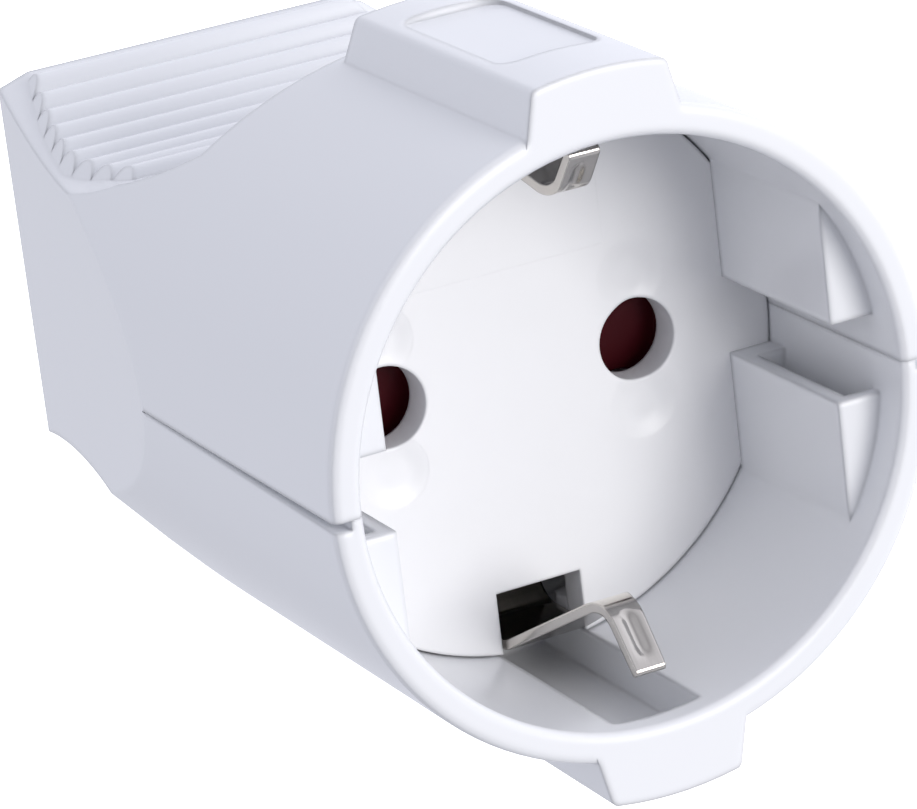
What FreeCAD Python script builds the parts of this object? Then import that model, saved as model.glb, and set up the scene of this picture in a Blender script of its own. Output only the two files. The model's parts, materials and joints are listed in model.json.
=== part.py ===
"""Inline socket connector: a two-pin earthed trailing socket that stands on its flat tail.

Frame, in millimetres: +Z runs along the socket's axis from the tail face (z = 0) to the mouth
rim, X runs through the two pin holes and +Y points at the raised block of the upper shell. The
shells part on the plane y = 0. Depths in the sheet are counted from the mouth rim backwards.
"""
import FreeCAD, Part
import math
import os
import re
import Sketcher

SIZES = {
    # Housing: a barrel that narrows to a flat, scooped grip
    "housing_length": 67.0,
    "rim_wall": 2.12,
    "housing_wall": 2.2,
    "tail_wall": 5.0,
    "rim_round": 0.5,
    "mouth_bevel": 0.35,
    "taper_start": 29.6,
    "tail_half_width": 14.8,
    "shoulder_run": 3.65,
    "waist_depth": 48.2,
    "waist_height": 11.75,
    "foot_rise": 4.4,
    "tail_rise": 2.3,
    "margin_width": 2.4,
    "margin_drop": 0.75,
    # Grip ribs
    "rib_count": 9,
    "rib_start": 40.7,
    "rib_tail_gap": 2.4,
    "rib_height": 0.9,
    "rib_radius": 1.5,
    "rib_inset": 0.3,
    "rib_round_gap": 1.2,
    "rib_end_lean": 0.6,
    # Raised blocks over the earth clips
    "block_back": 4.75,
    "block_rise": 2.9,
    "block_wall": 2.3,
    "block_half_width": 5.85,
    "block_draft": 0.65,
    "block_back_draft": 1.1,
    "block_round": 0.5,
    "panel_setback": 6.0,
    "panel_length": 15.0,
    "panel_half_width": 3.7,
    "panel_depth": 0.55,
    "panel_round": 1.4,
    # Plug recess with its keys and earth channels
    "recess_radius": 19.88,
    "recess_depth": 17.5,
    "key_rise": 3.43,
    "key_gap": 5.48,
    "key_setback": 3.05,
    "key_wall": 1.1,
    "key_front_wall": 1.0,
    "key_back_wall": 2.0,
    "key_hollow": 4.8,
    "channel_clearance": 0.3,
    "channel_setback": 2.0,
    "ledge_width": 1.68,
    "ledge_thickness": 2.0,
    "ledge_clearance": 0.35,
    # Parting joint between the shells
    "parting_gap": 0.65,
    "parting_gap_end": 0.12,
    "parting_groove": 1.2,
    # Contact carrier, the white plate at the bottom of the recess
    "carrier_clearance": 0.15,
    "carrier_thickness": 2.5,
    "pin_spacing": 19.0,
    "pin_hole_radius": 2.88,
    "pin_length": 19.0,
    "slot_clearance": 0.23,
    "slot_depth": 4.83,
    "dimple_radius": 2.5,
    "dimple_offset": 4.6,
    "dimple_depth": 0.12,
    "rail_width": 1.4,
    # Safety shutter and its spring
    "shutter_edge": 0.52,
    "shutter_thickness": 2.2,
    "shutter_clearance": 0.3,
    "shutter_travel": 6.4,
    "shutter_lap": 1.3,
    "ramp_depth": 1.3,
    "spring_strip": 0.3,
    "spring_depth": 1.6,
    "spring_half_width": 3.2,
    "spring_bend": 0.5,
    "spring_solid": 2.0,
    "spring_gap": 0.15,
    # Contact base: towers round the jaws and a bed under the terminals
    "base_thickness": 1.6,
    "tower_wall": 1.2,
    "bed_thickness": 1.5,
    "bed_edge": 1.3,
    "bed_overhang": 0.8,
    "partition_half": 0.5,
    "partition_height": 6.2,
    # Brass jaws and terminals
    "strip_thickness": 0.6,
    "strip_half_width": 2.5,
    "jaw_gap": 5.0,
    "jaw_play": 0.9,
    "jaw_inset": 0.8,
    "seat_gap": 0.2,
    "terminal_half_width": 3.2,
    "terminal_height": 7.0,
    "terminal_length": 6.0,
    "terminal_setback": 1.0,
    "wire_way": 3.2,
    "terminal_wall": 1.2,
    "terminal_screw_radius": 1.4,
    "terminal_screw_rise": 1.7,
    "screw_clearance": 0.05,
    "screw_slot": 0.6,
    # Earth bracket with its two spring clips
    "earth_thickness": 0.7,
    "earth_half_width": 3.0,
    "earth_setback": 0.98,
    "earth_gap": 3.3,
    "earth_bend": 2.3,
    "earth_straight": 5.0,
    "earth_slant": 9.0,
    "clip_crest_half_width": 1.18,
    "clip_tip_half_width": 1.06,
    "lower_crest_setback": 7.12,
    "lower_crest_depth": 5.8,
    "lower_tip_setback": 3.16,
    "lower_tip_depth": 2.37,
    "upper_crest_setback": 4.68,
    "upper_crest_depth": 6.26,
    "upper_tip_setback": 1.4,
    "upper_tip_depth": 3.64,
    # Cable inlet, cord clamp and screws
    "inlet_radius": 4.75,
    "tail_room": 1.4,
    "clamp_gap": 0.4,
    "clamp_half_length": 2.3,
    "clamp_spacing": 17.0,
    "clamp_seat": 2.0,
    "clamp_thickness": 3.6,
    "clamp_screw_radius": 1.3,
    "clamp_head_radius": 2.2,
    "clamp_head_height": 1.6,
    "clamp_screw_length": 10.0,
    "clamp_bite": 0.5,
    "saddle_half_length": 1.0,
    "housing_screw_radius": 1.6,
    "housing_screw_play": 0.15,
    "housing_head_radius": 2.9,
    "housing_head_height": 1.8,
    "housing_head_sink": 3.2,
    "housing_screw_reach": 5.5,
    "lower_boss_half": 4.2,
    "upper_boss_half": 3.4,
}

# Levels along the axis that several pieces share
RIM = "housing_length"
FACE = f"({RIM} - recess_depth)"
SEAT = f"({FACE} - carrier_thickness)"
LEDGE_BACK = f"({SEAT} - ledge_thickness)"
BLOCK_BACK = f"({LEDGE_BACK} - block_back)"
SHOULDER_LEVEL = f"({BLOCK_BACK} - shoulder_run)"
WAIST_LEVEL = f"({RIM} - waist_depth)"
BASE_TOP = f"({SEAT} - shutter_thickness - 2 * shutter_clearance)"
BASE_BACK = f"({BASE_TOP} - base_thickness)"
TOWER_END = f"({FACE} - pin_length)"
JAW_FLOOR = f"({TOWER_END} - seat_gap)"
TERMINAL_FRONT = f"({TOWER_END} - terminal_setback)"
TERMINAL_BACK = f"({TERMINAL_FRONT} - terminal_length)"
BED_END = f"({TERMINAL_BACK} - bed_overhang)"
CLAMP_LEVEL = "(tail_wall + tail_room + clamp_half_length)"
SCREW_LEVEL = f"({CLAMP_LEVEL} + clamp_half_length + clamp_gap + lower_boss_half)"

# Radii and heights across the axis that several pieces share
HOUSING_RADIUS = "(recess_radius + rim_wall)"
BLOCK_RADIUS = f"({HOUSING_RADIUS} + block_rise)"
LEDGE_RADIUS = "(recess_radius - ledge_width)"
INSERT_RADIUS = f"({LEDGE_RADIUS} - ledge_clearance)"
SLOT_INNER = "(recess_radius - slot_depth)"
PIN_X = "(pin_spacing / 2)"
WINDOW_RADIUS = "(pin_hole_radius + shutter_clearance)"
SHUTTER_HALF = f"({PIN_X} + {WINDOW_RADIUS} + shutter_edge)"
RAIL_INNER = f"({SHUTTER_HALF} + shutter_clearance)"
RAIL_OUTER = f"({RAIL_INNER} + rail_width)"
SHUTTER_TOP = "(pin_hole_radius + shutter_lap)"
SHUTTER_BOTTOM = f"(-shutter_travel - {WINDOW_RADIUS} - shutter_lap)"
REST_WALL = f"({SHUTTER_BOTTOM} - shutter_clearance)"
SPRING_WALL = f"({SHUTTER_TOP} + shutter_travel + spring_solid)"
JAW_OUTER = "(jaw_gap / 2 + strip_thickness)"
TOWER_ROOM = f"({JAW_OUTER} + jaw_play)"
TOWER_HALF = f"({TOWER_ROOM} + tower_wall)"
BED_TOP = f"(-{TOWER_HALF})"
TAIL_TOP = f"({BED_TOP} + strip_thickness)"
SHOULDER_FOOT = "(waist_height + foot_rise)"
TAIL_HEIGHT = "(waist_height + tail_rise)"
WALL_MIDDLE = "(waist_height - housing_wall / 2)"
HEAD_LEVEL = "(waist_height - housing_head_sink)"
TAPER = f"(({HOUSING_RADIUS} - tail_half_width) / (housing_length - taper_start))"

BEYOND = 2.0  # how far a cutting tool runs past the face that it cuts
OVERRUN = 1.5  # how far the shoulder's slope runs out through the barrel, in its own lengths
ALONG = 0.9  # the least cosine of a direction that counts as along an axis
WORD = re.compile(r"[a-z][a-z_]*[a-z]")
DOC = FreeCAD.newDocument("inline_socket")
Vector = FreeCAD.Vector
TURN = {
    "x": FreeCAD.Rotation(Vector(0, 1, 0), 90),
    "y": FreeCAD.Rotation(Vector(1, 0, 0), -90),
    "z": FreeCAD.Rotation(),
}


def fill_sheet():
    """Put every driving dimension in a cell of its own, under its name."""
    sheet = DOC.addObject("Spreadsheet::Sheet", "sizes")
    for row, (name, number) in enumerate(SIZES.items(), start=1):
        sheet.set(f"A{row}", str(number))
        sheet.setAlias(f"A{row}", name)
    DOC.recompute()
    return sheet


SHEET = fill_sheet()


def bound(text):
    """Name the sheet in front of every size in an expression."""
    return WORD.sub(lambda m: "sizes." + m.group(0) if m.group(0) in SIZES else m.group(0), str(text))


def bind(item, path, text):
    item.setExpression(path, bound(text))


def number(text):
    return float(SHEET.evalExpression(bound(text)))


# Solids from primitives


def box(name, x, y, z):
    """A box between a low and a high expression on each axis."""
    made = DOC.addObject("Part::Box", name)
    for side, axis, (low, high) in zip(("Length", "Width", "Height"), "xyz", (x, y, z)):
        bind(made, side, f"({high}) - ({low})")
        bind(made, f"Placement.Base.{axis}", low)
    return made


def rod(name, radius, along, start, end, across=("0", "0")):
    """A cylinder along one axis, from start to end, at the given place on the other two."""
    made = DOC.addObject("Part::Cylinder", name)
    made.Placement = FreeCAD.Placement(Vector(), TURN[along])
    bind(made, "Radius", radius)
    bind(made, "Height", f"({end}) - ({start})")
    bind(made, f"Placement.Base.{along}", start)
    for axis, place in zip([a for a in "xyz" if a != along], across):
        bind(made, f"Placement.Base.{axis}", place)
    return made


def join(name, *pieces):
    made = DOC.addObject("Part::MultiFuse", name)
    made.Shapes = list(pieces)
    made.Refine = True
    return made


def cut(name, base, *tools):
    made = DOC.addObject("Part::Cut", name)
    made.Base = base
    made.Tool = tools[0] if len(tools) == 1 else join(name + "_tools", *tools)
    made.Refine = True
    return made


def common(name, first, second):
    made = DOC.addObject("Part::Common", name)
    made.Base = first
    made.Tool = second
    return made


def mirror(name, source, normal):
    made = DOC.addObject("Part::Mirroring", name)
    made.Source = source
    made.Normal = normal
    return made


def middle_of(edge):
    return edge.valueAt((edge.FirstParameter + edge.LastParameter) / 2)


def runs_along(edge, axis):
    direction = edge.tangentAt((edge.FirstParameter + edge.LastParameter) / 2)
    return abs(getattr(direction, axis)) > ALONG


def rounded(name, base, radius, wanted):
    """Round every edge of a base that the test picks."""
    DOC.recompute()
    made = DOC.addObject("Part::Fillet", name)
    made.Base = base
    edges = [i for i, edge in enumerate(base.Shape.Edges, start=1) if wanted(edge)]
    made.Edges = [(i, number(radius), number(radius)) for i in edges]
    return made


# Solids from sketches


def sketch_in(body, plane):
    sketch = body.newObject("Sketcher::SketchObject", body.Name + "_sketch")
    origin = [f for f in body.Origin.OriginFeatures if f.Role == plane][0]
    sketch.AttachmentSupport = [(origin, "")]
    sketch.MapMode = "FlatFace"
    return sketch


def pin_point(sketch, edge, position, corner):
    """Bind one point of a sketch to a pair of expressions."""
    for kind, text in zip(("DistanceX", "DistanceY"), corner):
        row = sketch.addConstraint(Sketcher.Constraint(kind, -1, 1, edge, position, number(text)))
        bind(sketch, f"Constraints[{row}]", text)


def arc_between(start, end, across=None, up=None):
    """The arc from start to end whose centre has the given first or second coordinate."""
    chord = end - start
    middle = (start + end) * 0.5
    if up is None:
        up = middle.y - (across - middle.x) * chord.x / chord.y
    else:
        across = middle.x - (up - middle.y) * chord.y / chord.x
    centre = Vector(across, up, 0)
    first, second = start - centre, end - centre
    angles = [math.atan2(v.y, v.x) for v in (first, second)]
    forward = first.cross(second).z > 0
    if not forward:
        angles.reverse()
    circle = Part.Circle(centre, Vector(0, 0, 1), first.Length)
    return Part.ArcOfCircle(circle, *angles), forward


def draw_outline(sketch, corners, arcs):
    """Close an outline through bound corners; arcs maps an edge to its centre's coordinate."""
    points = [Vector(number(u), number(v), 0) for u, v in corners]
    ends = []
    for i, start in enumerate(points):
        end = points[(i + 1) % len(points)]
        forward = True
        shape = Part.LineSegment(start, end)
        if i in arcs:
            side, text = arcs[i]
            shape, forward = arc_between(start, end, **{side: number(text)})
        sketch.addGeometry(shape, False)
        ends.append((1, 2) if forward else (2, 1))
    for i, (_, last) in enumerate(ends):
        following = (i + 1) % len(ends)
        sketch.addConstraint(Sketcher.Constraint("Coincident", i, last, following, ends[following][0]))
        pin_point(sketch, i, ends[i][0], corners[i])
    for i, (side, text) in arcs.items():
        kind = "DistanceX" if side == "across" else "DistanceY"
        row = sketch.addConstraint(Sketcher.Constraint(kind, -1, 1, i, 3, number(text)))
        bind(sketch, f"Constraints[{row}]", text)


def prism(name, plane, corners, width, arcs=None):
    """An outline padded evenly to both sides of an origin plane."""
    body = DOC.addObject("PartDesign::Body", name)
    sketch = sketch_in(body, plane)
    draw_outline(sketch, corners, arcs or {})
    pad = body.newObject("PartDesign::Pad", name + "_pad")
    pad.Profile = sketch
    pad.SideType = "Symmetric"
    bind(pad, "Length", width)
    return body


def turned(name, corners, arcs=None):
    """An outline of radius and height, turned about the socket's axis."""
    body = DOC.addObject("PartDesign::Body", name)
    sketch = sketch_in(body, "XZ_Plane")
    draw_outline(sketch, corners, arcs or {})
    revolve = body.newObject("PartDesign::Revolution", name + "_turn")
    revolve.Profile = sketch
    revolve.ReferenceAxis = (sketch, ["V_Axis"])
    revolve.Angle = 360
    return body


def draw_bent_path(sketch, corners, bend):
    """An open path of straight runs with the same bend at every inner corner."""
    points = [Vector(number(u), number(v), 0) for u, v in corners]
    radius = number(bend)
    leave = {0: points[0]}
    reach = {len(points) - 1: points[-1]}
    centres = {}
    for i in range(1, len(points) - 1):
        back = (points[i - 1] - points[i]).normalize()
        ahead = (points[i + 1] - points[i]).normalize()
        half = back.getAngle(ahead) / 2
        reach[i] = points[i] + back * (radius / math.tan(half))
        leave[i] = points[i] + ahead * (radius / math.tan(half))
        centres[i] = points[i] + (back + ahead).normalize() * (radius / math.sin(half))
    runs = []
    for i in range(len(points) - 1):
        runs.append(sketch.addGeometry(Part.LineSegment(leave[i], reach[i + 1]), False))
    for i, centre in centres.items():
        first, second = reach[i] - centre, leave[i] - centre
        angles = [math.atan2(v.y, v.x) for v in (first, second)]
        forward = first.cross(second).z > 0
        if not forward:
            angles.reverse()
        circle = Part.Circle(centre, Vector(0, 0, 1), radius)
        arc = sketch.addGeometry(Part.ArcOfCircle(circle, *angles), False)
        start, end = (1, 2) if forward else (2, 1)
        sketch.addConstraint(Sketcher.Constraint("Tangent", runs[i - 1], 2, arc, start))
        sketch.addConstraint(Sketcher.Constraint("Tangent", arc, end, runs[i], 1))
        row = sketch.addConstraint(Sketcher.Constraint("Radius", arc, radius))
        bind(sketch, f"Constraints[{row}]", bend)
        corner = sketch.addGeometry(Part.Point(points[i]), True)
        sketch.addConstraint(Sketcher.Constraint("PointOnObject", corner, 1, runs[i - 1]))
        sketch.addConstraint(Sketcher.Constraint("PointOnObject", corner, 1, runs[i]))
        pin_point(sketch, corner, 1, corners[i])
    pin_point(sketch, runs[0], 1, corners[0])
    pin_point(sketch, runs[-1], 2, corners[-1])


def bent_strip(name, rotation, corners, bend, thickness, low, high):
    """A strip of sheet metal along the middle of its section, from low to high across it."""
    path = DOC.addObject("Sketcher::SketchObject", name + "_path")
    path.Placement = FreeCAD.Placement(Vector(), rotation)
    normal = rotation.multVec(Vector(0, 0, 1))
    axis = "xyz"[[abs(v) > ALONG for v in normal].index(True)]
    bind(path, f"Placement.Base.{axis}", low)
    draw_bent_path(path, corners, bend)
    skin = DOC.addObject("Part::Offset2D", name + "_skin")
    skin.Source = path
    skin.Mode = "Pipe"
    skin.Fill = True
    bind(skin, "Value", f"{thickness} / 2")
    made = DOC.addObject("Part::Extrusion", name)
    made.Base = skin
    made.DirMode = "Custom"
    made.Dir = normal
    made.Solid = True
    bind(made, "LengthFwd", f"({high}) - ({low})")
    return made


# Housing


def grip_outline(inset):
    """Side outline of the upper half from the tail to the foot of the shoulder."""
    return [
        ("0", "0"),
        (f"{TAIL_HEIGHT} - {inset}", "0"),
        (f"waist_height - {inset}", WAIST_LEVEL),
        (f"{SHOULDER_FOOT} - {inset}", f"{SHOULDER_LEVEL} + {inset}"),
    ]


def shoulder_outline(inset):
    """Side outline from the foot of the shoulder to the rim; its slope runs out past the barrel."""
    foot = f"({SHOULDER_FOOT} - {inset})"
    level = f"({SHOULDER_LEVEL} + {inset})"
    out = f"{foot} + {OVERRUN} * ({HOUSING_RADIUS} - {SHOULDER_FOOT})"
    return [(foot, level), (out, f"{level} + {OVERRUN} * shoulder_run"), (out, RIM), ("0", RIM)]


def side_prism(name, corners, arcs=None):
    """A side outline, as wide as the housing and more."""
    return prism(name, "YZ_Plane", corners, f"2 * {HOUSING_RADIUS} + {BEYOND}", arcs)


def plan_prism(name, inset):
    """Everything between the two flat side faces, which close in towards the tail."""
    tail = f"(tail_half_width - {inset})"
    front = f"({tail} + {TAPER} * housing_length)"
    corners = [(f"-{tail}", "0"), (tail, "0"), (front, RIM), (f"-{front}", RIM)]
    return prism(name, "XZ_Plane", corners, f"2 * {BLOCK_RADIUS}")


# The scoop is two hollow arcs that meet at the waist, both level there
SCOOP_ARCS = {1: ("up", WAIST_LEVEL), 2: ("up", WAIST_LEVEL)}


def half_body():
    """Outside of the upper half, with no block or ribs yet."""
    step = "rim_round * (1 - sqrt(2) / 2)"
    barrel = turned("barrel", [
        ("0", "0"),
        (HOUSING_RADIUS, "0"),
        (HOUSING_RADIUS, f"{RIM} - rim_round"),
        (f"{HOUSING_RADIUS} - {step}", f"{RIM} - {step}"),
        (f"{HOUSING_RADIUS} - rim_round", RIM),
        ("0", RIM),
    ])
    plan = plan_prism("plan", "0")
    rear = side_prism("grip_side", grip_outline("0") + [("0", SHOULDER_LEVEL)], SCOOP_ARCS)
    grip = common("grip", rear, plan)
    DOC.recompute()
    bevel = DOC.addObject("Part::Chamfer", "bevelled_grip")
    bevel.Base = grip
    bevel.Edges = margin_bevels(grip.Shape)
    front = side_prism("front_side", [("0", SHOULDER_LEVEL)] + shoulder_outline("0"))
    return common("body", barrel, join("body_side", bevel, common("front", front, plan)))


def is_side_face(face):
    """True for the two flat side faces of the grip."""
    return isinstance(face.Surface, Part.Plane) and abs(face.normalAt(0, 0).x) > ALONG


def margin_bevels(shape):
    """Each edge between the scooped top and a side face, with its bevel on the two faces."""
    drop, width = number("margin_drop"), number("margin_width")
    bevels = []
    for i, edge in enumerate(shape.Edges, start=1):
        sides = [is_side_face(f) for f in shape.Faces if any(edge.isSame(e) for e in f.Edges)]
        on_top = middle_of(edge).y > number("waist_height") / 2
        if any(sides) and on_top and runs_along(edge, "z"):
            bevels.append((i, drop, width) if sides[0] else (i, width, drop))
    return bevels


def raised_block():
    """Earth clip housing: a drafted block under an arc that shares the barrel's axis."""
    wedge = DOC.addObject("Part::Wedge", "block_wedge")
    low = "recess_radius"
    high = f"({BLOCK_RADIUS} + {BEYOND})"
    rise = f"(({high} - {low}) / block_rise)"
    bind(wedge, "Ymin", low)
    bind(wedge, "Ymax", high)
    for sign, end in (("-", "min"), ("", "max")):
        bind(wedge, "X" + end, f"{sign}block_half_width")
        bind(wedge, "X2" + end, f"{sign}(block_half_width - block_draft * {rise})")
    bind(wedge, "Zmin", BLOCK_BACK)
    bind(wedge, "Z2min", f"{BLOCK_BACK} + block_back_draft * {rise}")
    bind(wedge, "Zmax", RIM)
    bind(wedge, "Z2max", RIM)
    arched = common("block_arched", wedge, rod("block_arc", BLOCK_RADIUS, "z", "0", RIM))
    floor = number(HOUSING_RADIUS)
    return rounded("block", arched, "block_round",
                   lambda edge: runs_along(edge, "z") and middle_of(edge).y > floor)


def scoop_height(depth):
    """Height of the scooped top at a depth, from the arc on that side of the waist."""
    run, climb = WAIST_LEVEL, "tail_rise"
    if number(depth) < number("waist_depth"):
        run, climb = f"({SHOULDER_LEVEL} - {WAIST_LEVEL})", "foot_rise"
    arc = f"(({run} ^ 2 + {climb} ^ 2) / (2 * {climb}))"
    return f"(waist_height + {arc} - sqrt({arc} ^ 2 - (waist_depth - {depth}) ^ 2))"


def rib_bars():
    """Round bars across the grip, sunk in its top, with ends that lean in from the side faces."""
    pitch = "((housing_length - rib_tail_gap - rib_start) / (rib_count - 1))"
    bars = []
    for i in range(int(SIZES["rib_count"])):
        depth = f"(rib_start + {i} * {pitch})"
        bars.append(rod(f"rib_{i}", "rib_radius", "x", f"-{HOUSING_RADIUS}", HOUSING_RADIUS,
                        (f"{scoop_height(depth)} + rib_height - rib_radius", f"{RIM} - {depth}")))
    right = rib_end_cutter()
    left = mirror("left_rib_ends", right, Vector(1, 0, 0))
    bounds = common("rib_bounds", plan_prism("rib_plan", "rib_inset"),
                    rod("rib_round", f"{HOUSING_RADIUS} - rib_round_gap", "z", "0", RIM))
    return cut("ribs", common("ribs_inside", join("rib_set", *bars), bounds), right, left)


def rib_end_cutter():
    """Everything beside the ribs on the right: a face that leans in as it rises."""
    beside = prism("right_rib_ends", "XY_Plane", [
        (f"rib_end_lean * {TAIL_HEIGHT}", "0"),
        (f"-rib_end_lean * {HOUSING_RADIUS}", f"{TAIL_HEIGHT} + {HOUSING_RADIUS}"),
        (f"2 * {HOUSING_RADIUS}", f"{TAIL_HEIGHT} + {HOUSING_RADIUS}"),
        (f"2 * {HOUSING_RADIUS}", "0"),
    ], "3 * housing_length")
    beside.Placement = FreeCAD.Placement(Vector(), FreeCAD.Rotation(Vector(0, 1, 0), 1))
    bind(beside, "Placement.Rotation.Angle", f"atan({TAPER})")
    bind(beside, "Placement.Base.x", "tail_half_width - margin_width")
    return beside


def right_key():
    """Half of a guide key: a thin box across the recess, open towards the parting plane."""
    flat = "(recess_radius - key_rise)"
    tube = rod("key_round", f"(recess_radius + {HOUSING_RADIUS}) / 2", "z", FACE, f"{RIM} - key_setback")
    block = box("key_block", (flat, HOUSING_RADIUS), ("key_gap / 2", HOUSING_RADIUS), (FACE, RIM))
    hollow = box("key_hollow_box", (f"{flat} + key_wall", HOUSING_RADIUS), ("0", "key_gap / 2 + key_hollow"),
                 (f"{FACE} + key_back_wall", f"{RIM} - key_setback - key_front_wall"))
    return cut("right_key", common("key_solid", tube, block), hollow)


def half_shell():
    """One half of the housing, as far as both halves are alike."""
    outside = join("outside", half_body(), raised_block(), rib_bars())
    room = rod("room_round", f"{HOUSING_RADIUS} - housing_wall", "z", "tail_wall", LEDGE_BACK)
    room_side = side_prism("room_side", grip_outline("housing_wall") + shoulder_outline("housing_wall")[1:],
                           SCOOP_ARCS)
    room = common("room_waisted", room, room_side)
    room = common("room", room, plan_prism("room_plan", "housing_wall"))
    recess = turned("recess", [
        ("0", SEAT),
        ("recess_radius", SEAT),
        ("recess_radius", f"{RIM} - mouth_bevel"),
        ("recess_radius + mouth_bevel", RIM),
        ("recess_radius + mouth_bevel", f"{RIM} + {BEYOND}"),
        ("0", f"{RIM} + {BEYOND}"),
    ])
    ledge = rod("ledge_hole", LEDGE_RADIUS, "z", f"{LEDGE_BACK} - {BEYOND}", f"{SEAT} + {BEYOND}")
    half = "(earth_half_width + channel_clearance)"
    channel = box("channel", (f"-{half}", half), (SLOT_INNER, f"{BLOCK_RADIUS} - block_wall"),
                  (f"{BLOCK_BACK} + housing_wall", f"{RIM} - channel_setback"))
    inlet = rod("inlet", "inlet_radius", "z", f"-{BEYOND}", f"tail_wall + {BEYOND}")
    hollowed = cut("hollowed", outside, room, recess, ledge, channel, inlet)
    key = right_key()
    return join("half", hollowed, key, mirror("left_key", key, Vector(1, 0, 0)))


def upper_shell(half):
    panel = box("panel_box", ("-panel_half_width", "panel_half_width"),
                (f"{BLOCK_RADIUS} - panel_depth", f"{BLOCK_RADIUS} + {BEYOND}"),
                (f"{RIM} - panel_setback - panel_length", f"{RIM} - panel_setback"))
    panel = rounded("panel", panel, "panel_round", lambda edge: runs_along(edge, "y"))
    place = ("0", SCREW_LEVEL)
    boss = box("upper_boss", ("-upper_boss_half", "upper_boss_half"), ("0", WALL_MIDDLE),
               (f"{SCREW_LEVEL} - upper_boss_half", f"{SCREW_LEVEL} + upper_boss_half"))
    hole = rod("upper_boss_hole", "housing_screw_radius + screw_clearance", "y", f"-{BEYOND}",
               "housing_screw_reach + seat_gap", place)
    return cut("upper_shell", join("upper_bossed", half, boss), panel, hole)


def parting_groove():
    """A gap in the outer part of the wall that closes from the rim to where the taper starts."""
    level = f"{RIM} - taper_start"
    wedge = prism("groove_wedge", "YZ_Plane", [
        ("0", level),
        ("0", f"{RIM} + {BEYOND}"),
        ("-parting_gap", f"{RIM} + {BEYOND}"),
        ("-parting_gap", RIM),
        ("-parting_gap_end", level),
    ], f"2 * {HOUSING_RADIUS} + {BEYOND}")
    core = rod("groove_core", f"{HOUSING_RADIUS} - parting_groove", "z", "0", f"{RIM} + 2 * {BEYOND}")
    return cut("parting_groove", wedge, core)


def lower_shell(half):
    place = ("0", SCREW_LEVEL)
    outside = f"-{HOUSING_RADIUS}"
    bosses = [box("lower_boss", ("-lower_boss_half", "lower_boss_half"), (f"-{WALL_MIDDLE}", "0"),
                  (f"{SCREW_LEVEL} - lower_boss_half", f"{SCREW_LEVEL} + lower_boss_half"))]
    holes = [
        rod("head_hole", "housing_head_radius + 2 * housing_screw_play", "y", outside, f"-{HEAD_LEVEL}",
            place),
        rod("shank_hole", "housing_screw_radius + housing_screw_play", "y", outside, f"{BEYOND}", place),
        parting_groove(),
    ]
    span = (f"{CLAMP_LEVEL} - clamp_half_length", f"{CLAMP_LEVEL} + clamp_half_length")
    for side, sign in (("right", ""), ("left", "-")):
        middle = f"({sign}clamp_spacing / 2)"
        across = (f"{middle} - clamp_half_length", f"{middle} + clamp_half_length")
        bosses.append(box(f"{side}_pillar", across, (f"-{WALL_MIDDLE}", "clamp_seat"), span))
        holes.append(rod(f"{side}_pillar_hole", "clamp_screw_radius + screw_clearance", "y",
                         "clamp_seat + clamp_thickness - clamp_screw_length - seat_gap",
                         f"clamp_seat + {BEYOND}", (middle, CLAMP_LEVEL)))
    saddle = box("saddle_block", ("-clamp_spacing / 2", "clamp_spacing / 2"),
                 (f"-{WALL_MIDDLE}", "-seat_gap"),
                 (f"{CLAMP_LEVEL} - saddle_half_length", f"{CLAMP_LEVEL} + saddle_half_length"))
    bed = rod("saddle_round", "inlet_radius", "z", "0", SCREW_LEVEL)
    bosses.append(cut("saddle", saddle, bed))
    lower = mirror("lower_half", half, Vector(0, 1, 0))
    return cut("lower_shell", join("lower_bossed", lower, *bosses), *holes)


# Contact carrier, shutter and base


def contact_carrier():
    """White plate with pin holes and earth slots, and the rails that guide the shutter behind it."""
    plate = rod("carrier_plate", "recess_radius - carrier_clearance", "z", SEAT, FACE)
    half = f"sqrt({INSERT_RADIUS} ^ 2 - {RAIL_OUTER} ^ 2)"
    stop = ("-2 * spring_half_width", "2 * spring_half_width")
    behind = (BASE_TOP, SEAT)
    solids = [
        plate,
        box("right_rail", (RAIL_INNER, RAIL_OUTER), (f"-{half}", half), behind),
        box("left_rail", (f"-{RAIL_OUTER}", f"-{RAIL_INNER}"), (f"-{half}", half), behind),
        box("spring_stop", stop, (SPRING_WALL, f"{SPRING_WALL} + rail_width"), behind),
        box("rest_stop", stop, (f"{REST_WALL} - rail_width", REST_WALL), behind),
    ]
    through = (f"{SEAT} - {BEYOND}", f"{FACE} + {BEYOND}")
    holes = []
    for side, sign in (("right", ""), ("left", "-")):
        x = f"{sign}{PIN_X}"
        holes.append(rod(f"{side}_pin_hole", "pin_hole_radius", "z", *through, (x, "0")))
        for part, lift in (("upper", ""), ("lower", "-")):
            holes.append(rod(f"{side}_{part}_dimple", "dimple_radius", "z", f"{FACE} - dimple_depth",
                             f"{FACE} + {BEYOND}", (x, f"{lift}dimple_offset")))
    side = "(earth_half_width + slot_clearance)"
    holes.append(box("upper_slot", (f"-{side}", side), (SLOT_INNER, HOUSING_RADIUS), through))
    holes.append(box("lower_slot", (f"-{side}", side), (f"-{HOUSING_RADIUS}", f"-{SLOT_INNER}"), through))
    return cut("contact_carrier", join("carrier_solids", *solids), *holes)


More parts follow.
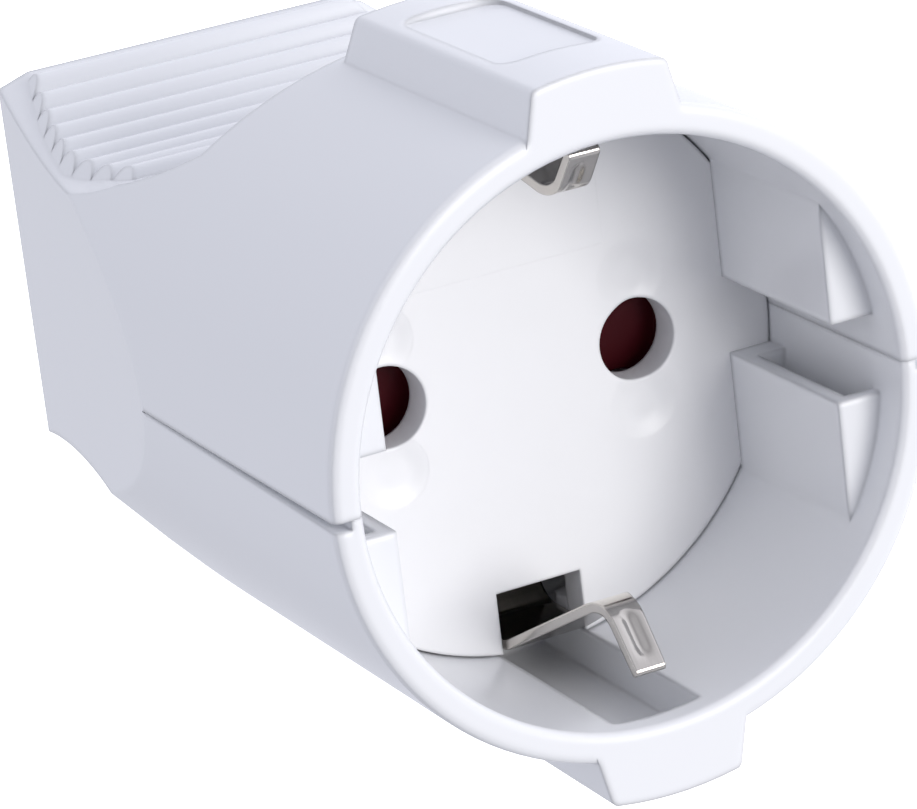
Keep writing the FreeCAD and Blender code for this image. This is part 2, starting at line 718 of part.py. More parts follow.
def shutter():
    """Slider that covers both pin holes; its ramps turn the push of the pins into the slide."""
    low = f"({BASE_TOP} + shutter_clearance)"
    high = f"({low} + shutter_thickness)"
    plate = box("shutter_plate", (f"-{SHUTTER_HALF}", SHUTTER_HALF), (SHUTTER_BOTTOM, SHUTTER_TOP),
                (low, high))
    foot = "(shutter_travel - pin_hole_radius)"
    ramp = prism("shutter_ramp", "YZ_Plane", [
        ("pin_hole_radius", high),
        (f"-{foot}", f"{high} - ramp_depth"),
        (f"-{foot}", f"{high} + {BEYOND}"),
        ("pin_hole_radius", f"{high} + {BEYOND}"),
    ], f"2 * ({PIN_X} + {WINDOW_RADIUS})")
    windows = [rod(f"{side}_window", WINDOW_RADIUS, "z", f"{low} - {BEYOND}", f"{high} + {BEYOND}",
                   (f"{sign}{PIN_X}", "-shutter_travel")) for side, sign in (("right", ""), ("left", "-"))]
    return cut("shutter", plate, ramp, *windows)


def shutter_spring():
    """Folded spring strip between the shutter's upper edge and the stop on the carrier."""
    low = f"({SHUTTER_TOP} + spring_gap + spring_strip / 2)"
    high = f"({SPRING_WALL} - spring_gap - spring_strip / 2)"
    path = [
        ("-spring_half_width", low),
        ("spring_half_width", low),
        ("-spring_half_width", high),
        ("spring_half_width", high),
    ]
    bottom = f"({BASE_TOP} + spring_gap)"
    return bent_strip("shutter_spring", FreeCAD.Rotation(), path, "spring_bend", "spring_strip",
                      bottom, f"{bottom} + spring_depth")


def contact_base():
    """Plate behind the shutter, with a tower for each jaw and a walled bed under the terminals."""
    slab = box("base_slab", (f"-{RAIL_OUTER}", RAIL_OUTER),
               (f"{REST_WALL} - rail_width", f"{SPRING_WALL} + rail_width"), (BASE_BACK, BASE_TOP))
    solids = [common("base_plate", slab, rod("base_round", INSERT_RADIUS, "z", "0", RIM))]
    holes = []
    for side, sign in (("right", ""), ("left", "-")):
        middle = f"({sign}{PIN_X})"
        solids.append(box(f"{side}_tower", (f"{middle} - {TOWER_HALF}", f"{middle} + {TOWER_HALF}"),
                          (f"-{TOWER_HALF}", TOWER_HALF), (TOWER_END, BASE_BACK)))
        holes.append(box(f"{side}_tower_room", (f"{middle} - {TOWER_ROOM}", f"{middle} + {TOWER_ROOM}"),
                         (f"-{TOWER_ROOM}", TOWER_ROOM), (f"{TOWER_END} - {BEYOND}", BASE_BACK)))
        holes.append(box(f"{side}_base_hole", (f"{middle} - {WINDOW_RADIUS}", f"{middle} + {WINDOW_RADIUS}"),
                         (f"-{WINDOW_RADIUS}", WINDOW_RADIUS),
                         (f"{BASE_BACK} - {BEYOND}", f"{BASE_TOP} + {BEYOND}")))
        wall = f"({middle} / 2)"
        solids.append(box(f"{side}_partition", (f"{wall} - partition_half", f"{wall} + partition_half"),
                          (BED_TOP, f"{BED_TOP} + partition_height"), (BED_END, TOWER_END)))
    edge = f"({PIN_X} + terminal_half_width + bed_edge)"
    solids.append(box("terminal_bed", (f"-{edge}", edge), (f"{BED_TOP} - bed_thickness", BED_TOP),
                      (BED_END, f"{TOWER_END} + {TOWER_HALF}")))
    holes.append(box("bridge_notch", (f"-{PIN_X} / 2", f"{PIN_X} / 2"), (f"-{HOUSING_RADIUS}", BED_TOP),
                     (f"{JAW_FLOOR} - earth_thickness", BASE_BACK)))
    return cut("contact_base", join("base_solids", *solids), *holes)


# Contacts and terminals


def pin_contact(name, sign):
    """Two brass jaws on a folded floor, with a tail that runs back under the terminal."""
    middle = f"({sign}{PIN_X})"
    left, right = f"{middle} - {JAW_OUTER}", f"{middle} + {JAW_OUTER}"
    depth = ("-strip_half_width", "strip_half_width")
    floor = f"({JAW_FLOOR} - strip_thickness)"
    span = (floor, f"{BASE_BACK} - jaw_inset")
    return join(
        name,
        box(name + "_right", (f"{middle} + jaw_gap / 2", right), depth, span),
        box(name + "_left", (left, f"{middle} - jaw_gap / 2"), depth, span),
        box(name + "_floor", (left, right), (BED_TOP, "strip_half_width"), (floor, JAW_FLOOR)),
        box(name + "_tail", (f"{middle} - strip_half_width", f"{middle} + strip_half_width"),
            (BED_TOP, TAIL_TOP), (TERMINAL_BACK, JAW_FLOOR)),
    )


def terminal(name, middle, foot):
    """Brass cage on the contact's tail, with a way for the wire and a hole for its screw."""
    top = f"({foot} + terminal_height)"
    span = (TERMINAL_BACK, TERMINAL_FRONT)
    past = (f"{TERMINAL_BACK} - {BEYOND}", f"{TERMINAL_FRONT} + {BEYOND}")
    block = box(name + "_block", (f"{middle} - terminal_half_width", f"{middle} + terminal_half_width"),
                (foot, top), span)
    way = box(name + "_wire_way", (f"{middle} - wire_way / 2", f"{middle} + wire_way / 2"),
              (f"{foot} + terminal_wall", f"{foot} + terminal_wall + wire_way"), past)
    hole = rod(name + "_screw_hole", "terminal_screw_radius + screw_clearance", "y",
               f"{foot} + terminal_wall + wire_way / 2", f"{top} + {BEYOND}",
               (middle, f"{TERMINAL_BACK} + terminal_length / 2"))
    return cut(name, block, way, hole)


def driver_slot(name, place, end, reach, depth, faces=1):
    """Cutter for the slot in the end of a screw along Y; faces is 1 for an upper end, -1 for a lower."""
    span = (f"{end} - {depth}", f"{end} + {BEYOND}")
    if faces < 0:
        span = (f"{end} - {BEYOND}", f"{end} + {depth}")
    x, z = place
    half = f"({reach} + {BEYOND})"
    return box(name + "_slot", (f"{x} - {half}", f"{x} + {half}"), span,
               (f"{z} - screw_slot / 2", f"{z} + screw_slot / 2"))


def slotted_screw(name, place, tip, under_head, shank, head, head_height, faces=1):
    """A screw along Y with a slotted head; faces is 1 for a head on top, -1 for one below."""
    sign = "" if faces > 0 else "-"
    end = f"({under_head} + {sign}{head_height})"
    shank_span = (tip, under_head) if faces > 0 else (under_head, tip)
    head_span = (under_head, end) if faces > 0 else (end, under_head)
    body = join(name + "_body", rod(name + "_shank", shank, "y", *shank_span, place),
                rod(name + "_head", head, "y", *head_span, place))
    return cut(name, body, driver_slot(name, place, end, head, f"{head_height} / 2", faces))


def terminal_screw(name, middle, foot):
    """Headless screw with a slot, part of the way down into the cage."""
    place = (middle, f"({TERMINAL_BACK} + terminal_length / 2)")
    top = f"({foot} + terminal_height + terminal_screw_rise)"
    shank = rod(name + "_shank", "terminal_screw_radius", "y", f"{foot} + terminal_wall + wire_way / 2", top,
                place)
    return cut(name, shank, driver_slot(name, place, top, "terminal_screw_radius", "terminal_screw_rise / 2"))


def earth_contact():
    """One bent bracket: a spring clip at each end, arms past the carrier and a bridge behind it."""
    reach = "(recess_radius - earth_setback)"
    waist = f"({TOWER_HALF} + earth_gap)"
    arm_level = f"({FACE} - earth_straight)"
    waist_level = f"({arm_level} - earth_slant)"
    lower_crest_level = f"{RIM} - lower_crest_depth"
    path = [
        ("-(recess_radius - lower_tip_setback)", f"{RIM} - lower_tip_depth"),
        ("-(recess_radius - lower_crest_setback)", lower_crest_level),
        (f"-{reach}", FACE),
        (f"-{reach}", arm_level),
        (f"-{waist}", waist_level),
        (f"-{waist}", JAW_FLOOR),
        (waist, JAW_FLOOR),
        (waist, waist_level),
        (reach, arm_level),
        (reach, FACE),
        ("recess_radius - upper_crest_setback", f"{RIM} - upper_crest_depth"),
        ("recess_radius - upper_tip_setback", f"{RIM} - upper_tip_depth"),
    ]
    side_view = FreeCAD.Rotation(Vector(0, 1, 0), Vector(0, 0, 1), Vector(1, 0, 0), "ZXY")
    strip = bent_strip("earth_strip", side_view, path, "earth_bend", "earth_thickness",
                       "-earth_half_width", "earth_half_width")
    plan = prism("earth_plan", "XZ_Plane", [
        ("-earth_half_width", "0"),
        ("earth_half_width", "0"),
        ("earth_half_width", FACE),
        ("clip_crest_half_width", lower_crest_level),
        ("clip_tip_half_width", RIM),
        ("-clip_tip_half_width", RIM),
        ("-clip_crest_half_width", lower_crest_level),
        ("-earth_half_width", FACE),
    ], f"2 * {HOUSING_RADIUS}")
    tab = box("earth_tab", ("-strip_half_width", "strip_half_width"),
              (BED_TOP, f"{BED_TOP} + earth_thickness"), (TERMINAL_BACK, JAW_FLOOR))
    return join("earth_contact", common("earth_bracket", strip, plan), tab)


# Cord clamp and screws


def cord_clamp():
    """Clamping bar with an arch for the cord, on two pillars of the lower shell."""
    half = "(clamp_spacing / 2 + clamp_half_length)"
    span = (f"{CLAMP_LEVEL} - clamp_half_length", f"{CLAMP_LEVEL} + clamp_half_length")
    bar = box("clamp_bar", (f"-{half}", half), ("clamp_seat", "clamp_seat + clamp_thickness"), span)
    arch = rod("clamp_arch", "inlet_radius - clamp_bite", "z", "0", SCREW_LEVEL)
    holes = [rod(f"clamp_{side}_hole", "clamp_screw_radius + screw_clearance", "y", "0", HOUSING_RADIUS,
                 (f"{sign}clamp_spacing / 2", CLAMP_LEVEL)) for side, sign in (("right", ""), ("left", "-"))]
    return cut("cord_clamp", bar, arch, *holes)


def cord_clamp_screws():
    seat = "(clamp_seat + clamp_thickness)"
    screws = [slotted_screw(f"{side}_clamp_screw", (f"{sign}clamp_spacing / 2", CLAMP_LEVEL),
                            f"{seat} - clamp_screw_length", seat, "clamp_screw_radius", "clamp_head_radius",
                            "clamp_head_height") for side, sign in (("right", ""), ("left", "-"))]
    group = DOC.addObject("Part::Compound", "cord_clamp_screws")
    group.Links = screws
    return group


def housing_screw():
    return slotted_screw("housing_screw", ("0", SCREW_LEVEL), "housing_screw_reach", f"-{HEAD_LEVEL}",
                         "housing_screw_radius", "housing_head_radius", "housing_head_height", faces=-1)


def build():
    """Every sub-part of the socket, by the name of its node."""
    half = half_shell()
    earth_foot = f"({BED_TOP} + earth_thickness)"
    return {
        "upper_shell": upper_shell(half),
        "lower_shell": lower_shell(half),
        "contact_carrier": contact_carrier(),
        "contact_base": contact_base(),
        "shutter": shutter(),
        "shutter_spring": shutter_spring(),
        "line_contact": pin_contact("line_contact", ""),
        "neutral_contact": pin_contact("neutral_contact", "-"),
        "earth_contact": earth_contact(),
        "line_terminal": terminal("line_terminal", PIN_X, TAIL_TOP),
        "neutral_terminal": terminal("neutral_terminal", f"(-{PIN_X})", TAIL_TOP),
        "earth_terminal": terminal("earth_terminal", "0", earth_foot),
        "line_terminal_screw": terminal_screw("line_terminal_screw", PIN_X, TAIL_TOP),
        "neutral_terminal_screw": terminal_screw("neutral_terminal_screw", f"(-{PIN_X})", TAIL_TOP),
        "earth_terminal_screw": terminal_screw("earth_terminal_screw", "0", earth_foot),
        "cord_clamp": cord_clamp(),
        "cord_clamp_screws": cord_clamp_screws(),
        "housing_screw": housing_screw(),
    }


def check(parts):
    """Stop before anything is written if an object failed or a sub-part has no sound solid."""
    for item in DOC.Objects:
        if "Invalid" in item.State or "Error" in item.State:
            raise RuntimeError(f"{item.Name} failed: {item.State}")
    for name, item in parts.items():
        shape = item.Shape
        if shape.isNull() or not shape.isValid() or not shape.Solids:
            raise RuntimeError(f"{name} has no valid solid")
        print(f"{name}: {len(shape.Solids)} solid, {shape.Volume:.1f} mm3")


def export(parts):
    os.makedirs("parts", exist_ok=True)
    for name, item in parts.items():
        item.Label = name
        item.Shape.exportStep(f"parts/{item.Label}.step")


PARTS = build()
DOC.recompute()
check(PARTS)
export(PARTS)
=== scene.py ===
"""Looks of the inline socket connector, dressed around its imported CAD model.

Everything is in metres in the CAD frame: the socket stands on its tail at z = 0, its mouth opens
towards +Z, X runs through the pin holes and +Y points at the raised block of the upper shell.
"""
import json
import math

import bmesh
import bpy
from mathutils import Matrix, Vector


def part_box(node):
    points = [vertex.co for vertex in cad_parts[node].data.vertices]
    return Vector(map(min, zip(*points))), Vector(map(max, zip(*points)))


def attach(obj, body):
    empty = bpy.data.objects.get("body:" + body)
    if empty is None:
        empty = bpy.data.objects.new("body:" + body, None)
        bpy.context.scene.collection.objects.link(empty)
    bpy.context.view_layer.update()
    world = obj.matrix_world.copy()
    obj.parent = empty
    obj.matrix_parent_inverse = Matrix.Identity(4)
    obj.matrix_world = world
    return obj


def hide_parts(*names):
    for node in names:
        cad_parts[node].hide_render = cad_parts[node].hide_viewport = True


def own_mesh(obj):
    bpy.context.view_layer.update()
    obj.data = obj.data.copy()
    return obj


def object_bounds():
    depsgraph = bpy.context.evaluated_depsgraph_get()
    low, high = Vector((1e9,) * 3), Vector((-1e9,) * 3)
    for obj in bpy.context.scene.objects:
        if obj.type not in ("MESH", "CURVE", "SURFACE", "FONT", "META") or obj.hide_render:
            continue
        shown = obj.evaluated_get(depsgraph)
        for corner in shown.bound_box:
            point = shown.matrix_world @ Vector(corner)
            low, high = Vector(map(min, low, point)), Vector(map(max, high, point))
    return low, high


MM = 0.001

# Camera, found by fitting the part's known sizes to the photograph
IMAGE_WIDTH = 917
FOCAL_PIXELS = 5564.35
SENSOR_MM = 36.0
CLIP_START = 0.01
CAMERA_PLACE = Vector((-0.15248, 0.12043, 0.36722))
CAMERA_RIGHT = Vector((0.88282308, -0.1144961, 0.4555371))
CAMERA_UP = Vector((0.24722965, 0.93788937, -0.24339481))

# Finishes: colours, and noises with their scales in cells per metre
SHELL_COLOUR = (0.80, 0.81, 0.835)
CARRIER_COLOUR = (0.86, 0.863, 0.878)
SHUTTER_COLOUR = (0.055, 0.005, 0.008)
NICKEL_COLOUR = (0.62, 0.59, 0.55)
BRASS_COLOUR = (0.72, 0.52, 0.22)
STEEL_COLOUR = (0.58, 0.58, 0.57)
CLAMP_COLOUR = (0.74, 0.75, 0.76)
FLOOR_COLOUR = (1.0, 1.0, 1.0)
BEVEL_SAMPLES = 8
FLOW_SCALE = 60
FLOW_STRETCH = (1, 1, 0.4)
FLOW_DULLING = 0.985
GLOSS_SCALE = 90
GLOSS_RANGE = 0.02
WAVE_SCALE = 250
WAVE_HEIGHT = 0.004 * MM
STREAK_SCALE = 900
STREAK_DETAIL = 3
STREAK_DULLING = 0.86
STREAK_SMOOTHER = 0.05
STREAK_ROUGHER = 0.07
STREAK_HEIGHT = 0.003 * MM

# Tight joint of the shells along the grip, up to where their gap opens, and the mix node's sockets
# for vectors
JOINT_HALF = 0.9 * MM
JOINT_END = 37.6 * MM
MIX_FACTOR = 0
MIX_FIRST = 4
MIX_SECOND = 5
MIX_RESULT = 1

# Carrier's face: a witness line, and a shallow bowl above and below each pin hole
LINE_HALF = 7.7 * MM
LINE_LEVEL = 7.3 * MM
LINE_WIDTH = 0.07 * MM
LINE_DEPTH = 0.018 * MM
BOWL_X = 9.5 * MM
BOWL_Y = 4.6 * MM
BOWL_RADIUS = 2.7 * MM
BOWL_DEPTH = 0.3 * MM
BOWL_FLAT = 1.0 * MM
BOWL_STEP = 0.36 * MM
DIMPLE_DEPTH = 0.12 * MM
DIMPLE_TOLERANCE = DIMPLE_DEPTH / 4

# Grooves pressed along the free ends of the spring clips: for each end its outward direction, and the
# ranges of Z over which its groove begins and ends
GROOVES = (
    ((0, 0.655, 0.756), (61.8 * MM, 62.7 * MM), (63.9 * MM, 64.7 * MM)),
    ((0, -0.62, 0.78), (60.6 * MM, 61.5 * MM), (62.7 * MM, 63.5 * MM)),
)
GROOVE_HALF = 0.45 * MM
GROOVE_DEPTH = 0.24 * MM
GROOVE_REACH = 0.98 * MM
GROOVE_STEP = 0.14 * MM
GROOVE_ALONG_STEP = 0.25 * MM
GROOVE_FACING = 0.6

# Editing of mesh copies: edges from this angle stay sharp, and a material index marks faces to be cut
SHARP_ANGLE = math.radians(35)
WELD_DISTANCE = 0.0001 * MM
UNMARKED = 0
MARKED = 1

# Floor and studio light: the sky's brightness towards each side, and the soft box, which is aimed at a
# share of the socket's height
FLOOR_HALF = 3.0
SKY_COLOUR = (0.975, 0.99, 1.085)
SKY_SIDES = {
    (1, 0, 0): 1.09,
    (-1, 0, 0): 0.6,
    (0, 1, 0): 0.54,
    (0, -1, 0): 0.28,
    (0, 0, 1): 0.08,
    (0, 0, -1): 0.6,
}
KEY_PLACE = (0.32, 0.16, 0.92)
KEY_SIZE = 0.5
KEY_POWER = 5.7
KEY_COLOUR = (1.02, 1.0, 0.98)
KEY_AIM = 0.7


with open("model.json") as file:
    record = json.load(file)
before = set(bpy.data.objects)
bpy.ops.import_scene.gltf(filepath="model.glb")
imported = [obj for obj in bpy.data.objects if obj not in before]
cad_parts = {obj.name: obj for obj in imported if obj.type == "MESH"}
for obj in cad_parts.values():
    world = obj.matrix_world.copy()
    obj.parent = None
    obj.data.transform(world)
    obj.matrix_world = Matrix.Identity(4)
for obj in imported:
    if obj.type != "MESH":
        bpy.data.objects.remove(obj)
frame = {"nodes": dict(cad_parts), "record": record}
NODES = frame["nodes"]
CAD_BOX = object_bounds()


# Materials


def new_material(name):
    """A node material, with its tree and its shader."""
    material = bpy.data.materials.new(name)
    material.use_nodes = True
    return material, material.node_tree, material.node_tree.nodes["Principled BSDF"]


def add_node(tree, kind, **values):
    """A node whose inputs or settings are given by name."""
    node = tree.nodes.new(kind)
    for name, value in values.items():
        key = name.replace("_", " ").title()
        if key in node.inputs:
            node.inputs[key].default_value = value
        else:
            setattr(node, name, value)
    return node


def noise(tree, scale, stretch=(1, 1, 1), detail=1):
    """Noise in the part's own coordinates, with scale in cells per metre."""
    place = add_node(tree, "ShaderNodeTexCoord")
    mapping = add_node(tree, "ShaderNodeMapping", scale=stretch)
    texture = add_node(tree, "ShaderNodeTexNoise", scale=scale, detail=detail)
    tree.links.new(place.outputs["Object"], mapping.inputs["Vector"])
    tree.links.new(mapping.outputs["Vector"], texture.inputs["Vector"])
    return texture.outputs["Fac"]


def spread(tree, factor, low, high):
    """Map a noise onto a range of values."""
    node = add_node(tree, "ShaderNodeMapRange", to_min=low, to_max=high)
    tree.links.new(factor, node.inputs["Value"])
    return node.outputs["Result"]


def tint(tree, factor, low, high):
    """Map a noise onto a range between two colours."""
    ramp = add_node(tree, "ShaderNodeValToRGB")
    ramp.color_ramp.elements[0].color = (*low, 1)
    ramp.color_ramp.elements[1].color = (*high, 1)
    tree.links.new(factor, ramp.inputs["Fac"])
    return ramp.outputs["Color"]


def soft_edges(tree, radius):
    """A normal that rounds the edges."""
    return add_node(tree, "ShaderNodeBevel", samples=BEVEL_SAMPLES, radius=radius).outputs["Normal"]


def raise_by(tree, height, depth, normal):
    """A normal that carries a relief of the given depth over another normal."""
    bump = add_node(tree, "ShaderNodeBump", strength=1.0, distance=depth)
    tree.links.new(height, bump.inputs["Height"])
    tree.links.new(normal, bump.inputs["Normal"])
    return bump.outputs["Normal"]


def calculate(tree, operation, first, second=None):
    """One step of arithmetic on sockets or plain numbers."""
    node = add_node(tree, "ShaderNodeMath", operation=operation)
    for socket, value in zip(node.inputs, (first, second)):
        if isinstance(value, (int, float)):
            socket.default_value = value
        elif value is not None:
            tree.links.new(value, socket)
    return node.outputs["Value"]


def place_of(tree):
    """The three coordinates of a point in the part's own frame."""
    split = add_node(tree, "ShaderNodeSeparateXYZ")
    tree.links.new(add_node(tree, "ShaderNodeTexCoord").outputs["Object"], split.inputs["Vector"])
    return split.outputs


def fade(tree, value, start, end):
    """A smooth rise from 0 at start to 1 at end."""
    node = add_node(tree, "ShaderNodeMapRange", interpolation_type="SMOOTHSTEP",
                    from_min=start, from_max=end)
    tree.links.new(value, node.inputs["Value"])
    return node.outputs["Result"]


def plastic(name, colour, roughness, edge, relief=None, ior=1.5):
    """Injection-moulded plastic: faint flow tint, uneven gloss, slight waviness and softened edges."""
    material, tree, shader = new_material(name)
    flow = noise(tree, FLOW_SCALE, FLOW_STRETCH)
    dull = tuple(channel * FLOW_DULLING for channel in colour)
    tree.links.new(tint(tree, flow, dull, colour), shader.inputs["Base Color"])
    gloss = spread(tree, noise(tree, GLOSS_SCALE), roughness - GLOSS_RANGE, roughness + GLOSS_RANGE)
    tree.links.new(gloss, shader.inputs["Roughness"])
    normal = raise_by(tree, noise(tree, WAVE_SCALE), WAVE_HEIGHT, soft_edges(tree, edge))
    if relief:
        normal = relief(tree, normal)
    tree.links.new(normal, shader.inputs["Normal"])
    shader.inputs["IOR"].default_value = ior
    return material


def tight_joint(tree, normal):
    """Plain faces along the grip's joint, where the shells meet without rounded edges."""
    point = place_of(tree)
    near = calculate(tree, "LESS_THAN", calculate(tree, "ABSOLUTE", point["Y"]), JOINT_HALF)
    behind = calculate(tree, "LESS_THAN", point["Z"], JOINT_END)
    plain = add_node(tree, "ShaderNodeNewGeometry").outputs["Normal"]
    mix = add_node(tree, "ShaderNodeMix", data_type="VECTOR")
    tree.links.new(calculate(tree, "MULTIPLY", near, behind), mix.inputs[MIX_FACTOR])
    tree.links.new(normal, mix.inputs[MIX_FIRST])
    tree.links.new(plain, mix.inputs[MIX_SECOND])
    return mix.outputs[MIX_RESULT]


def witness_line(tree, normal):
    """Hairline step that a mould insert leaves on three sides of the carrier's face."""
    point = place_of(tree)
    past_side = calculate(tree, "SUBTRACT", calculate(tree, "ABSOLUTE", point["X"]), LINE_HALF)
    below = calculate(tree, "SUBTRACT", LINE_LEVEL, point["Y"])
    outside = calculate(tree, "MAXIMUM", past_side, below)
    return raise_by(tree, fade(tree, outside, LINE_WIDTH, -LINE_WIDTH), LINE_DEPTH, normal)


def metal(name, colour, roughness, edge, brushing):
    """Plated or rolled metal: fine streaks in gloss and tint, with softened edges."""
    material, tree, shader = new_material(name)
    streaks = noise(tree, STREAK_SCALE, brushing, STREAK_DETAIL)
    dull = tuple(channel * STREAK_DULLING for channel in colour)
    tree.links.new(tint(tree, streaks, dull, colour), shader.inputs["Base Color"])
    gloss = spread(tree, streaks, roughness - STREAK_SMOOTHER, roughness + STREAK_ROUGHER)
    tree.links.new(gloss, shader.inputs["Roughness"])
    normal = raise_by(tree, streaks, STREAK_HEIGHT, soft_edges(tree, edge))
    tree.links.new(normal, shader.inputs["Normal"])
    shader.inputs["Metallic"].default_value = 1.0
    return material


def floor_material():
    """Bright studio white."""
    material, _, shader = new_material("floor_white")
    shader.inputs["Base Color"].default_value = (*FLOOR_COLOUR, 1)
    shader.inputs["Emission Color"].default_value = (*FLOOR_COLOUR, 1)
    shader.inputs["Emission Strength"].default_value = 1.0
    return material


def dress():
    """Give every CAD node the finish of its material slot."""
    finishes = {
        "white_plastic": plastic("shell_white", SHELL_COLOUR, 0.26, 0.7 * MM, tight_joint),
        "carrier_plastic": plastic("carrier_white", CARRIER_COLOUR, 0.34, 0.4 * MM, witness_line),
        "shutter_plastic": plastic("shutter_red", SHUTTER_COLOUR, 0.4, 0.2 * MM, ior=1.25),
        "clamp_plastic": plastic("clamp_white", CLAMP_COLOUR, 0.5, 0.2 * MM),
        "nickel_plate": metal("nickel", NICKEL_COLOUR, 0.13, 0.2 * MM, (6, 1, 0.12)),
        "brass": metal("brass", BRASS_COLOUR, 0.26, 0.1 * MM, (1, 1, 0.15)),
        "steel": metal("steel", STEEL_COLOUR, 0.3, 0.1 * MM, (1, 0.2, 1)),
    }
    slots = {row["node"]: row["material_slot"] for row in frame["record"]["subparts"]}
    for name, node in NODES.items():
        node.data.materials.clear()
        node.data.materials.append(finishes[slots[name]])


# Shapes


def open_copy(name):
    """A CAD node's mesh, joined along its seams and ready to be cut."""
    mesh = NODES[name].data.copy()
    mesh.attributes.remove(mesh.attributes["custom_normal"])
    solid = bmesh.new()
    solid.from_mesh(mesh)
    bmesh.ops.remove_doubles(solid, verts=solid.verts, dist=WELD_DISTANCE)
    return mesh, solid


def close_copy(mesh, solid, name, node):
    """Show an edited mesh in place of its CAD node."""
    bmesh.ops.triangulate(solid, faces=solid.faces)
    bmesh.ops.dissolve_degenerate(solid, edges=solid.edges, dist=WELD_DISTANCE)
    for side in solid.faces:
        side.material_index = UNMARKED
        side.smooth = True
    for edge in solid.edges:
        edge.smooth = edge.calc_face_angle(0) < SHARP_ANGLE
    solid.to_mesh(mesh)
    solid.free()
    mesh.name = name
    piece = bpy.data.objects.new(name, mesh)
    bpy.context.scene.collection.objects.link(piece)
    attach(piece, "socket")
    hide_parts(node)
    return piece


def marked(solid):
    """Faces that were chosen for cutting."""
    return [side for side in solid.faces if side.material_index == MARKED]


def corners_of(sides):
    """The corners of some faces, each once and in a fixed order."""
    return dict.fromkeys(corner for side in sides for corner in side.verts)


def cut(solid, axis, start, end, step):
    """Cut the marked faces by evenly spaced planes square to an axis."""
    across = Vector((0, 0, 0))
    across[axis] = 1
    for index in range(round((end - start) / step) + 1):
        sides = marked(solid)
        edges = dict.fromkeys(edge for side in sides for edge in side.edges)
        bmesh.ops.bisect_plane(solid, geom=[*sides, *edges, *corners_of(sides)], dist=WELD_DISTANCE,
                               plane_co=across * (start + index * step), plane_no=across)


def ease(value, start, end):
    """A smooth rise from 0 at start to 1 at end."""
    part = min(max((value - start) / (end - start), 0), 1)
    return part * part * (3 - 2 * part)


def soft_carrier():
    """The contact carrier with its four dimples as soft bowls."""
    mesh, solid = open_copy("contact_carrier")
    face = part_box("contact_carrier")[1][2]
    dimple_floor = face - DIMPLE_DEPTH
    for side in solid.faces:
        sunk = all(abs(corner.co.z - dimple_floor) < DIMPLE_TOLERANCE for corner in side.verts)
        side.material_index = MARKED if sunk else UNMARKED
    for corner in solid.verts:
        if abs(corner.co.z - dimple_floor) < DIMPLE_TOLERANCE:
            corner.co.z = face
    bmesh.ops.remove_doubles(solid, verts=solid.verts, dist=WELD_DISTANCE)
    for centre in (-BOWL_X, BOWL_X):
        cut(solid, 0, centre - BOWL_RADIUS, centre + BOWL_RADIUS, BOWL_STEP)
    for centre in (-BOWL_Y, BOWL_Y):
        cut(solid, 1, centre - BOWL_RADIUS, centre + BOWL_RADIUS, BOWL_STEP)
    for corner in corners_of(marked(solid)):
        reach = math.hypot(abs(corner.co.x) - BOWL_X, abs(corner.co.y) - BOWL_Y)
        corner.co.z = face - BOWL_DEPTH * (1 - ease(reach, BOWL_FLAT, BOWL_RADIUS))
    close_copy(mesh, solid, "soft_carrier", "contact_carrier")


def grooved_contact():
    """The earth contact with a groove along the free end of each spring clip."""
    mesh, solid = open_copy("earth_contact")
    for outward, begin, end in GROOVES:
        outward = Vector(outward)
        for side in solid.faces:
            place = side.calc_center_median()
            near = place.y * outward.y < 0 and place.z > begin[0]
            facing = side.normal.dot(outward) > GROOVE_FACING
            side.material_index = MARKED if near and facing else UNMARKED
        cut(solid, 0, -GROOVE_REACH, GROOVE_REACH, GROOVE_STEP)
        cut(solid, 2, begin[0], end[1], GROOVE_ALONG_STEP)
        for corner in corners_of(marked(solid)):
            if abs(corner.co.x) < GROOVE_REACH:
                along = ease(corner.co.z, *begin) - ease(corner.co.z, *end)
                hollow = math.exp(-(corner.co.x / GROOVE_HALF) ** 2)
                corner.co -= outward * (GROOVE_DEPTH * along * hollow)
    close_copy(mesh, solid, "grooved_contact", "earth_contact")


def pressed_spring():
    """The shutter's spring, shown as a welded copy with a mesh of its own."""
    mesh, solid = open_copy("shutter_spring")
    piece = close_copy(mesh, solid, "pressed_spring", "shutter_spring")
    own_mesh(piece)


# Stage


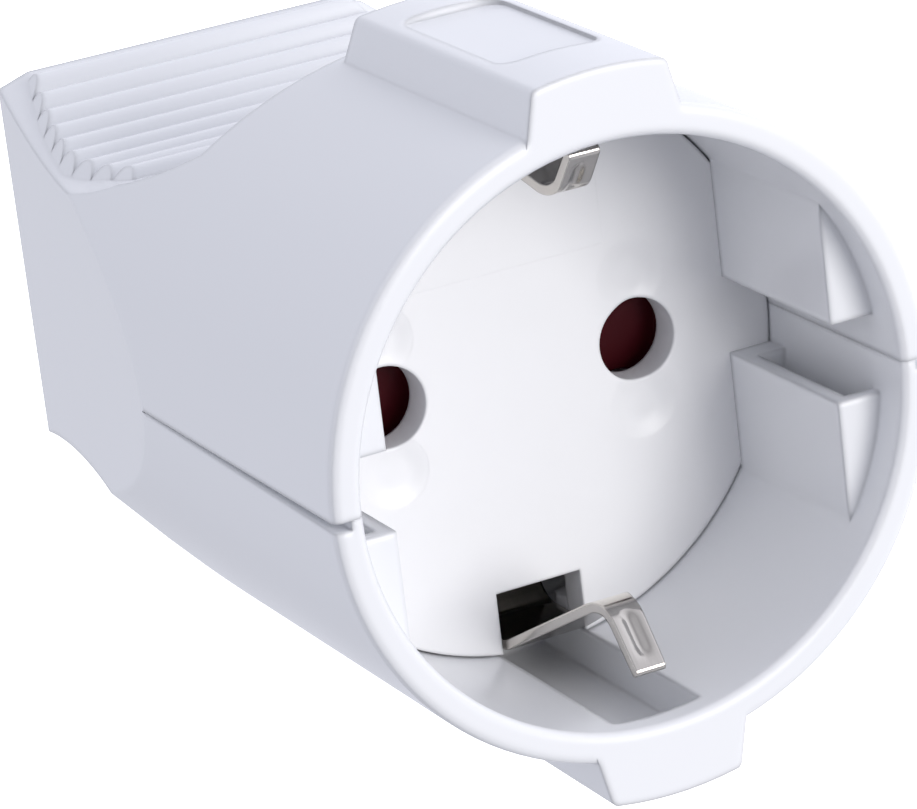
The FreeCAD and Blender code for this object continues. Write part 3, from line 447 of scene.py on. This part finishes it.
def floor():
    """Wide floor that the socket stands on."""
    half = FLOOR_HALF
    corners = [(-half, -half, 0), (half, -half, 0), (half, half, 0), (-half, half, 0)]
    mesh = bpy.data.meshes.new("floor")
    mesh.from_pydata(corners, [], [(0, 1, 2, 3)])
    plane = bpy.data.objects.new("floor", mesh)
    bpy.context.scene.collection.objects.link(plane)
    mesh.materials.append(floor_material())
    plane.visible_diffuse = False
    plane.visible_glossy = False
    plane.visible_shadow = False


def soft_box():
    """A large square light that faces the socket's mouth."""
    light = bpy.data.lights.new("soft_box", "AREA")
    light.size = KEY_SIZE
    light.energy = KEY_POWER
    light.color = KEY_COLOUR
    lamp = bpy.data.objects.new("soft_box", light)
    lamp.location = KEY_PLACE
    target = Vector((0, 0, CAD_BOX[1][2] * KEY_AIM))
    lamp.rotation_euler = (target - lamp.location).to_track_quat("-Z", "Y").to_euler()
    bpy.context.scene.collection.objects.link(lamp)


def studio():
    """Soft surroundings with a brightness for each side, shown in plain colours."""
    world = bpy.data.worlds.new("studio")
    world.use_nodes = True
    tree = world.node_tree
    towards = add_node(tree, "ShaderNodeTexCoord").outputs["Generated"]
    level = 0.0
    for axis, strength in SKY_SIDES.items():
        side = add_node(tree, "ShaderNodeVectorMath", operation="DOT_PRODUCT")
        side.inputs[1].default_value = axis
        tree.links.new(towards, side.inputs[0])
        facing = calculate(tree, "MAXIMUM", side.outputs["Value"], 0.0)
        level = calculate(tree, "ADD", calculate(tree, "MULTIPLY", facing, strength), level)
    background = tree.nodes["Background"]
    tree.links.new(level, background.inputs["Strength"])
    background.inputs["Color"].default_value = (*SKY_COLOUR, 1)
    bpy.context.scene.world = world
    bpy.context.scene.view_settings.view_transform = "Standard"


def camera():
    """The photograph's view."""
    data = bpy.data.cameras.new("camera")
    data.sensor_width = SENSOR_MM
    data.lens = FOCAL_PIXELS * SENSOR_MM / IMAGE_WIDTH
    data.clip_start = CLIP_START
    eye = bpy.data.objects.new("camera", data)
    back = CAMERA_RIGHT.cross(CAMERA_UP)
    axes = Matrix((CAMERA_RIGHT, CAMERA_UP, back)).transposed()
    eye.matrix_world = Matrix.Translation(CAMERA_PLACE) @ axes.to_4x4()
    bpy.context.scene.collection.objects.link(eye)
    bpy.context.scene.camera = eye


dress()
soft_carrier()
grooved_contact()
pressed_spring()
floor()
studio()
soft_box()
camera()
